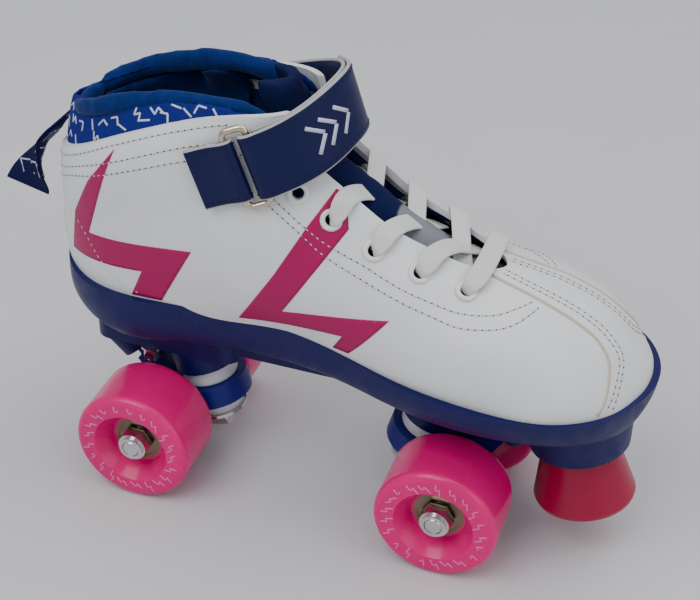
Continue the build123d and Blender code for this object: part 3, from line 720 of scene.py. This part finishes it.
def round_row(points, keep, centre=None, step=HALF_PITCH):
    """Spots along a curve through points, pushed out to the surface; keep is -1 to mirror them."""
    path = smooth([Vector((x, keep * y, z)) * MM for x, y, z in points], step)
    return [from_round(UPPER, p, centre or Vector((p.x, 0, p.z * 0.6 + 0.03))) for p in path]


TOP_ROWS = (
    ((-116, 147.5), (-112, 149.5), (-92, 161), (-77, 169), (-58, 177), (-38, 183), (-28, 185)),
    ((-116, 141.5), (-101, 151), (-88, 157.5), (-65, 167.5), (-45, 174.5), (-25, 178.5)),
    ((-116, 137), (-102, 146.5), (-84, 154.5), (-60, 164), (-40, 170), (-22, 173.5)),
)
COUNTER_ROW = ((-112, 133), (-101, 126), (-95, 119), (-89, 110), (-80, 102.5), (-70, 97.5))
EYESTAY_ROWS = (
    ((-16, -28, 160), (-10, -28, 155), (3, -28, 145), (13, -27, 138), (28, -28, 133), (43, -29, 127))
    + ((56, -30, 124), (69, -29, 121), (82, -25.5, 121), (89, -21, 123), (93, -16, 123), (95, -13.5, 124)),
    ((-18, -29, 158), (-12, -29, 152.5), (2, -29, 142), (12, -29, 134.5), (28, -31, 128.5), (45, -33, 123))
    + ((58, -34, 120), (70, -33, 117), (84, -29.5, 117.5), (91, -25, 119), (95, -20, 121), (97.5, -15, 122)),
)
TOE_CENTRE = Vector((0.096, 0.002, 0.075))
TOE_EDGE = (
    ((76, -9.5, 128), (91, -11.5, 125), (101, -12.8, 122), (112, -13.5, 117), (121, -14, 111))
    + ((126, -16, 103), (128, -22, 96), (128, -27, 90), (126.5, -31, 86))
)
TOE_ROWS = (
    ((80, -6, 128), (97, -8, 124), (106, -8.5, 121), (115, -9, 117), (123, -9.5, 111), (129.5, -11, 103))
    + ((131, -17, 97), (131, -23, 91.5), (129.5, -27, 87)),
    ((80, -3.5, 128), (97, -5.5, 124), (106, -6, 121), (115, -6.5, 117), (124.5, -7, 111), (131.5, -9, 103))
    + ((133, -15, 97), (133, -20.5, 91.5), (132, -24, 87)),
)
HEEL_EDGES = (-0.0042, 0.0042)
HEEL_SEAMS = (-0.0068, 0.0068)


def heel_row(y, step):
    """Spots up the back of the heel at this distance from the middle."""
    path = smooth([Vector((-0.16, y, z)) for z in (0.097, 0.115, 0.13, 0.146)], step)
    return [meet(UPPER, p, Vector((1, 0, 0))) for p in path]


thread, hole_shade = bmesh.new(), bmesh.new()
for side in (-1, 1):
    for row in TOP_ROWS:
        stitch_row(thread, hole_shade, side_row(row, side))
    stitch_row(thread, None, side_row(COUNTER_ROW, side))
    for row in EYESTAY_ROWS:
        stitch_row(thread, hole_shade, round_row(row, -side))
    for row in TOE_ROWS:
        stitch_row(thread, hole_shade, round_row(row, -side, TOE_CENTRE))
for y in HEEL_SEAMS:
    stitch_row(thread, hole_shade, heel_row(y, HALF_PITCH))
piece("boot_stitching", thread, [MATERIALS["thread_white"]])
# Dark dashes between the stitches: painted shade of the needle holes.
piece("stitch_hole_shade", hole_shade, [MATERIALS["thread_hole"]])

edges = bmesh.new()
for side in (1, -1):
    spots = [s for s in round_row(TOE_EDGE, side, TOE_CENTRE, EDGE_STEP) if s]
    ribbon(edges, spots, 0.0011, 0.0005)
for y in HEEL_EDGES:
    spots = [s for s in heel_row(y, EDGE_STEP) if s]
    ribbon(edges, spots, 0.0012, 0.0006)
piece("raw_edges", edges, [MATERIALS["raw_edge"]])

BOLTS = (
    ((-76, 168), (-94, 122), (-44, 127), (-60.5, 96.6), (-74.5, 96.6), (-68, 111))
    + ((-107, 107), (-101, 130), (-90, 150)),
    ((12.5, 160), (17, 158), (20, 146), (8, 127), (-5, 106), (42, 115), (24.5, 92.6), (17, 92.6), (22, 101.5))
    + ((-26, 95), (-8, 124), (4, 146)),
)
for side, word in ((-1, "outer"), (1, "inner")):
    bolts = bmesh.new()
    for outline in BOLTS:
        corners = [(x * MM, z * MM) for x, z in outline]
        patch(bolts, corners, lambda x, z: from_side(UPPER, x, z, side))
    piece(word + "_side_bolts", bolts, [MATERIALS["bolt_pink"]])

# ---------------------------------------------------------------- collar print

STROKES = (
    ((-3.3, 1.4), (-0.7, -1.5), (0.5, 1.3), (3.2, -1.1)),
    ((-2.9, 1.5), (0.3, -1.4), (2.9, 0.1)),
    ((-2.9, -0.9), (-0.2, 1.5), (2.8, -0.7)),
    ((-2.4, 0.7), (2.4, -0.7)),
)
MARK_COLUMNS, MARK_FROM, MARK_TURN = 33, 35, 9
MARK_PITCH = 0.0078
MARK_W = 0.0008
MARK_STEP = 0.0009
MARK_REACH = 0.008
MARK_LIFT = 0.006
INK_T = 0.0002
BAND_FLOOR = 0.140
OUTSIDE = 0.15
COVER = surface(cuff, *(nodes[name] for name in ("outer_quarter", "inner_quarter", "heel_strip")))


def flat_mark(bm, tree, spot, turn, corners, width):
    """Bent line printed on a surface round a spot, with corners in millimetres."""
    place, normal = spot
    across = Vector((0, 0, 1)).cross(normal).normalized()
    across.rotate(Quaternion(normal, turn))
    along = normal.cross(across)
    points = [place + (across * a + along * b) * MM for a, b in corners]
    for a, b in zip(points, points[1:]):
        count = max(2, int((b - a).length / MARK_STEP))
        hits = [meet(tree, a.lerp(b, k / count) + normal * MARK_LIFT, -normal) for k in range(count + 1)]
        if all(hits) and all((hit[0] - place).length < MARK_REACH for hit in hits):
            ribbon(bm, hits, width, INK_T)


def band_spot(angle, z):
    """Spot where the collar's cloth shows at this angle and height, or None where it is covered."""
    heading = Vector((math.cos(angle), math.sin(angle), 0))
    start = Vector((COLLAR_X, 0, z)) + heading * OUTSIDE
    spot = meet(BAND, start, -heading)
    cover = meet(COVER, start, -heading)
    if not spot or (spot[0] - start).length > 0.14:
        return None
    return None if cover and (cover[0] - start).length < (spot[0] - start).length else spot


marks = bmesh.new()
for column in range(MARK_COLUMNS):
    angle = math.radians(MARK_FROM + column * MARK_TURN)
    open_spots = [spot for spot in (band_spot(angle, BAND_FLOOR + k * MM) for k in range(60)) if spot]
    if not open_spots:
        continue
    rows = max(1, round((open_spots[-1][0] - open_spots[0][0]).length / MARK_PITCH))
    for row in range(rows):
        share = (row + (0.3 if column % 2 else 0.7)) / rows
        spot = open_spots[min(int(share * len(open_spots)), len(open_spots) - 1)]
        flat_mark(marks, BAND, spot, chance.uniform(-0.7, 0.7), chance.choice(STROKES), MARK_W)
piece("collar_marks", marks, [MATERIALS["print_white"]])

# ---------------------------------------------------------------- wheel print

WHEEL_MARKS = 21
WHEEL_MARK_R = 0.0205
WHEEL_MARK_W = 0.0006
WHEEL_STROKE = ((-1.9, 2.6), (-0.9, -0.6), (0.5, 1.0), (1.9, -2.4))

for end, end_word in ((1, "front"), (-1, "rear")):
    for side, side_word in ((-1, "outer"), (1, "inner")):
        wheel = nodes[f"{end_word}_{side_word}_wheel"]
        low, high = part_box(wheel.name)
        middle = (low + high) / 2
        tree = surface(wheel)

        def face_spot(angle, radius):
            start = middle + Vector((math.cos(angle) * radius, side * 0.05, math.sin(angle) * radius))
            return meet(tree, start, Vector((0, -side, 0)))

        ink = bmesh.new()
        for column in range(WHEEL_MARKS):
            angle = math.tau * (column + chance.uniform(-0.12, 0.12)) / WHEEL_MARKS
            spot = face_spot(angle, WHEEL_MARK_R + chance.uniform(-0.0004, 0.0004))
            turn = chance.uniform(-0.5, 0.5) - side * angle - math.pi / 2
            flat_mark(ink, tree, spot, turn, WHEEL_STROKE[: chance.choice((3, 4, 4, 4))], WHEEL_MARK_W)
        body = f"{end_word}_{side_word}_wheel_body"
        piece(f"{end_word}_{side_word}_wheel_print", ink, [MATERIALS["wheel_ink"]], body)

# ---------------------------------------------------------------- laces

EYELETS = ((-1, 25.5), (13, 25), (31, 24.5), (50, 23.5), (69, 21.5))
FLAP_EDGES = (17, 16.8, 16, 14.5, 9.9)
LACE_W = 0.0084
LACE_T = 0.0011
LACE_PROFILE = tape_profile(LACE_W, LACE_T)
LACE_PINCH = 0.16
EYELET_PROFILE = [(0.0046, -0.0003), (0.0046, 0.0004), (0.0041, 0.0010), (0.0033, 0.0011)]
EYELET_PROFILE += [(0.0026, 0.0006), (0.0024, -0.0010), (0.0024, -0.0036)]
EYELET_PROFILE += [(0.0029, -0.0036), (0.0030, -0.0003)]
EYELET_TURNS = 28


def flap_spot(x, y):
    """Flap surface beside an eyelet, averaged over the solid leather on each side of it."""
    spots = [s for s in (from_above(UPPER, x - 0.0075, y), from_above(UPPER, x + 0.0075, y)) if s]
    place = sum((s[0] for s in spots), Vector()) / len(spots)
    normal = sum((s[1] for s in spots), Vector()).normalized()
    return Vector((x, y, place.z)), normal


def pinch(count, start, end):
    """Width factors that narrow at the ends that go into a hole."""
    out = []
    for i in range(count):
        t = i / (count - 1)
        near = min(t if start else 1, 1 - t if end else 1)
        out.append(0.5 + 0.5 * min(1, near / LACE_PINCH))
    return out


def into_eyelet(index, side):
    """Last control points of a lace that lies on a flap and goes into its eyelet."""
    x, y = EYELETS[index]
    place, normal = flap_spot(x * MM, side * y * MM)
    edge, lean = from_above(UPPER, (x + 3) * MM, side * (FLAP_EDGES[index] + 1.6) * MM)
    over = place + Vector((0.0010, -side * 0.0035, 0)) + normal * 0.0045
    return [edge + lean * 0.0034, over, place + normal * 0.0012, place - normal * 0.0024], normal


def eyelet_ring(bm, place, normal):
    """Rolled metal rim standing on the leather round a lace hole."""
    across = normal.orthogonal().normalized()
    along = normal.cross(across)
    turns = []
    for k in range(EYELET_TURNS):
        a = math.tau * k / EYELET_TURNS
        out = across * math.cos(a) + along * math.sin(a)
        turns.append([bm.verts.new(place + out * r + normal * h) for r, h in EYELET_PROFILE])
    for row, after in zip(turns, turns[1:] + turns[:1]):
        for k in range(len(EYELET_PROFILE)):
            j = (k + 1) % len(EYELET_PROFILE)
            bm.faces.new((row[k], row[j], after[j], after[k]))


rims = bmesh.new()
for index, (x, y) in enumerate(EYELETS):
    for side in (-1, 1):
        eyelet_ring(rims, *flap_spot(x * MM, side * y * MM))
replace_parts(piece("eyelet_rims", rims, [MATERIALS["eyelet_white"]]), "eyelets")

laces = bmesh.new()


def crossing(index, side):
    """Tape from under one flap, over the tongue, into the next eyelet up on the other flap."""
    x, _ = EYELETS[index]
    start, low_normal = flap_spot(x * MM, side * EYELETS[index][1] * MM)
    rest, high_normal = into_eyelet(index - 1, -side)
    inner = Vector(((x - 3) * MM, side * (FLAP_EDGES[index] + 3) * MM, start.z - 0.0015))
    edge = Vector(((x - 6) * MM, side * (FLAP_EDGES[index] - 4) * MM, start.z + 0.0020))
    middle = (edge + rest[0]) / 2 + Vector((0, 0, 0.0030 if side > 0 else 0.0010))
    path = route([inner, edge, middle, *rest])
    up = (low_normal + high_normal).normalized()
    ups = mix_ups(len(path), [low_normal, up, up, high_normal])
    sweep(laces, path, ups, LACE_PROFILE, pinch(len(path), False, True))


for index in (4, 3, 2):
    for side in (-1, 1):
        crossing(index, side)

near, near_normal = into_eyelet(4, -1)
far, far_normal = into_eyelet(4, 1)
bar = route([*reversed(near), *far])
up = (near_normal + far_normal).normalized()
sweep(laces, bar, mix_ups(len(bar), [near_normal, up, far_normal]), LACE_PROFILE, pinch(len(bar), True, True))

for side in (-1, 1):
    x, y = EYELETS[1]
    start, normal = flap_spot(x * MM, side * y * MM)
    tail = [Vector((x - 2, side * 19, 0)) * MM, Vector((x - 3, side * 13, 0)) * MM]
    tail += [Vector((x - 7, side * 4, 0)) * MM, Vector((x - 12, -side * 4, 0)) * MM]
    for point, rise in zip(tail, (-1.5, 2.0, 5, 8)):
        point.z = start.z + rise * MM + (0.0012 if side > 0 else 0)
    path = route(tail)
    slope = Vector((0.62, 0, 0.78))
    sweep(laces, path, mix_ups(len(path), [normal, slope, slope]), LACE_PROFILE)
lace = piece("woven_laces", laces, [MATERIALS["lace_white"]])
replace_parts(lace, "lace")

# ---------------------------------------------------------------- strap

STRAP_W = 0.028
STRAP_T = 0.0017
STRAP_LEAN = Vector((-0.33, 0, 0.94))
STRAP_LINE = mm(
    [(-3, -27.8, 178), (5, -21.5, 183.5), (10, -12, 188), (12, 0, 190), (8.5, 11.5, 187.5)]
    + [(1.5, 21.3, 183), (-9, 29.3, 177.5), (-22, 34.2, 172), (-36, 38.5, 166)]
)
FLAP_POINTS = 6
RING_CENTRE = Vector((-20, -32.5, 170)) * MM
RING_FORWARD = Vector((0.90, 0.24, 0.35)).normalized()
RING_OUT = Vector((0.223, -0.963, 0.087))
RING_OUT = (RING_OUT - RING_FORWARD * RING_OUT.dot(RING_FORWARD)).normalized()
RING_ALONG = RING_OUT.cross(RING_FORWARD).normalized()
WRAP_POINTS = 8
FLAP_LIFT = 0.0023
SEWING_R = 0.00028
CHEVRONS = (0.34, 0.42, 0.50)
CHEVRON_W, CHEVRON_T, CHEVRON_REACH = 0.0016, 0.0003, 0.0062


def at_ring(forward, out):
    """Point beside the ring's centre, in millimetres forwards and outwards."""
    return RING_CENTRE + (RING_FORWARD * forward + RING_OUT * out) * MM


def outward(line):
    """Outward direction of a strap at each point of its centre line."""
    return [ahead.cross(STRAP_LEAN).normalized() for ahead in headings(line)]


def strap(name, controls, width, node, body, rows, path_ups=None):
    """Flat strap with stitch rows near its edges, standing for a CAD node."""
    bm = bmesh.new()
    path = route(controls)[::3]
    ups = path_ups(path) if path_ups else outward(path)
    sweep(bm, path, ups, tape_profile(width, STRAP_T), edge_material=1)
    sides, tops = frames(path, ups)
    made = piece(name, bm, [MATERIALS["strap_navy"], MATERIALS["strap_core"]], body)
    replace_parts(made, node)
    sewing = bmesh.new()
    for offset in rows:
        line = [p + s * offset + t * STRAP_T * 0.5 for p, s, t in zip(path, sides, tops)]
        for i in range(0, len(line) - 1, 2):
            dash(sewing, line[i], line[i + 1], tops[i], SEWING_R, 0.2)
    piece(name + "_stitching", sewing, [MATERIALS["thread_blue"]], body)
    return path, sides, tops


flap_line = [p + n * FLAP_LIFT for p, n in zip(STRAP_LINE, outward(STRAP_LINE))][:FLAP_POINTS]
wrap = [at_ring(1.7, 0.9), at_ring(2.4, 2.7), at_ring(4.6, 3.5), at_ring(7.5, 3.4)]


def wrap_ups(path):
    """Outward directions that turn round the ring's bar at the start."""
    leans = [RING_ALONG] * WRAP_POINTS + [STRAP_LEAN] * len(path)
    return [ahead.cross(lean).normalized() for ahead, lean in zip(headings(path), leans)]


EDGE_ROWS = (-0.0117, 0.0117)
flap_path, flap_sides, flap_tops = strap(
    "ankle_strap_flap", [*wrap, *flap_line], STRAP_W, "strap_flap", "strap_flap", EDGE_ROWS, wrap_ups
)
strap("ankle_strap_base", [at_ring(8.2, -1.5), *STRAP_LINE], STRAP_W, "strap_base", BOOT, EDGE_ROWS)

chevrons = bmesh.new()
for start in CHEVRONS:
    i = int(len(flap_path) * start)
    for rise in (-1, 1):
        a = flap_path[i + 4] + flap_sides[i + 4] * 0.0003 * rise
        b = flap_path[i] + flap_sides[i] * CHEVRON_REACH * rise
        n = flap_tops[i + 2]
        spots = [(a.lerp(b, t) + n * (STRAP_T / 2), n) for t in (0, 0.33, 0.67, 1)]
        ribbon(chevrons, spots, CHEVRON_W, CHEVRON_T)
piece("strap_chevrons", chevrons, [MATERIALS["print_white"]], "strap_flap")

tab_line = [at_ring(-22, -1.2), at_ring(-14, -1.0), at_ring(-8, 1.2), at_ring(-4, 2.6)]
tab_line += [at_ring(-1.2, 0.4), at_ring(-4.2, -2.3), at_ring(-12, -2.3)]


def tab_ups(path):
    """Outward directions round the ring's rear bar."""
    return [ahead.cross(RING_ALONG).normalized() for ahead in headings(path)]


TAB_W = 0.0265
TAB_ROWS = (-0.0110, 0.0110)
strap("ring_tab", tab_line, TAB_W, "strap_tab", BOOT, TAB_ROWS, tab_ups)

# ---------------------------------------------------------------- pull tab

PULL_TAB = ((-116.6, 0, 158.5), (-122.5, 0, 154), (-131, -0.5, 139.5), (-138, -2.5, 121.5))
PULL_SIDES = ((0, 1, 0), (0.05, 1, 0), (-0.65, 0.75, -0.10), (-0.95, -0.15, 0.05))
PULL_SIDES = [Vector(side).normalized() for side in PULL_SIDES]
PULL_W = 0.020
PULL_T = 0.0009
PULL_SPLIT = 0.0006
LOOP_ROW = 0.0062
LOOP_SWING = 0.0026
LOOP_LIFT = 0.00107

pull = bmesh.new()
pull_path = route(mm(PULL_TAB))[::2]
pull_sides = mix_ups(len(pull_path), PULL_SIDES)
pull_ups = [side.cross(ahead).normalized() for side, ahead in zip(pull_sides, headings(pull_path))]
for shift in (-PULL_SPLIT, PULL_SPLIT):
    line = [p + n * shift for p, n in zip(pull_path, pull_ups)]
    sweep(pull, line, pull_ups, tape_profile(PULL_W, PULL_T))
made = piece("pull_loop", pull, [MATERIALS["webbing_navy"]])
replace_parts(made, "pull_tab")

loop_marks = bmesh.new()
pull_frames = frames(pull_path, pull_ups)
for face in (-1, 1):
    for column in range(3):
        i = 6 + column * 3
        while i < len(pull_path) - 8:
            corners = []
            for k in range(3):
                across = (column - 1) * LOOP_ROW + (LOOP_SWING if k % 2 else -LOOP_SWING)
                j = min(i + k * 3, len(pull_path) - 1)
                n = pull_frames[1][j] * face
                corners.append((pull_path[j] + pull_frames[0][j] * across + n * LOOP_LIFT, n))
            for (a, n), (b, _) in zip(corners, corners[1:]):
                ribbon(loop_marks, [(a.lerp(b, t), n) for t in (0, 0.5, 1)], 0.0007, 0.00018)
            i += 10
piece("pull_loop_marks", loop_marks, [MATERIALS["print_lilac"]])

# ---------------------------------------------------------------- stage


CAMERA_ANGLES = (19.44, 35.07, 1.06)
CAMERA_TARGET = Vector((0, 0, 0.080))
CAMERA_DISTANCE = 0.646
CAMERA_LENS = 75.92
CAMERA_SHIFT = (0.0436, 0.0327)


def photo_stage():
    """Pale floor, even sky and three soft lamps."""
    bpy.ops.mesh.primitive_plane_add(size=8, location=(0, 0, 0))
    floor = bpy.context.object
    floor.name = "floor"
    made = Maker("floor_paper", (0.62, 0.62, 0.63), 0.75)
    made.color_from(made.noise(9, 4), spread((0.60, 0.60, 0.62), 0.02))
    floor.data.materials.append(made.mat)
    world = bpy.data.worlds.new("studio")
    world.use_nodes = True
    world.node_tree.nodes["Background"].inputs["Color"].default_value = (0.93, 0.95, 1.0, 1)
    world.node_tree.nodes["Background"].inputs["Strength"].default_value = 0.55
    bpy.context.scene.world = world
    for name, place, size, power in (
        ("key", (-0.5, -0.9, 1.5), 1.2, 16),
        ("top", (0.5, 0.4, 1.7), 1.6, 14),
        ("fill", (1.4, -0.7, 0.8), 1.2, 5),
    ):
        light = bpy.data.lights.new(name, "AREA")
        light.size = size
        light.energy = power
        lamp = bpy.data.objects.new(name, light)
        lamp.location = place
        lamp.rotation_euler = (CAMERA_TARGET - Vector(place)).to_track_quat("-Z", "Y").to_euler()
        bpy.context.scene.collection.objects.link(lamp)


def photo_camera():
    """Camera turned from the near side towards the toe, looking down."""
    azimuth, elevation, roll = (math.radians(a) for a in CAMERA_ANGLES)
    level = math.cos(elevation)
    back = Vector((math.sin(azimuth) * level, -math.cos(azimuth) * level, math.sin(elevation)))
    right = Vector((math.cos(azimuth), math.sin(azimuth), 0))
    up = back.cross(right)
    side = right * math.cos(roll) + up * math.sin(roll)
    top = back.cross(side)
    camera = bpy.data.objects.new("camera", bpy.data.cameras.new("camera"))
    camera.matrix_world = Matrix((side, top, back)).transposed().to_4x4()
    camera.location = CAMERA_TARGET + back * CAMERA_DISTANCE
    camera.data.sensor_width = 36
    camera.data.lens = CAMERA_LENS
    camera.data.shift_x, camera.data.shift_y = CAMERA_SHIFT
    bpy.context.scene.collection.objects.link(camera)
    bpy.context.scene.camera = camera


photo_stage()
photo_camera()
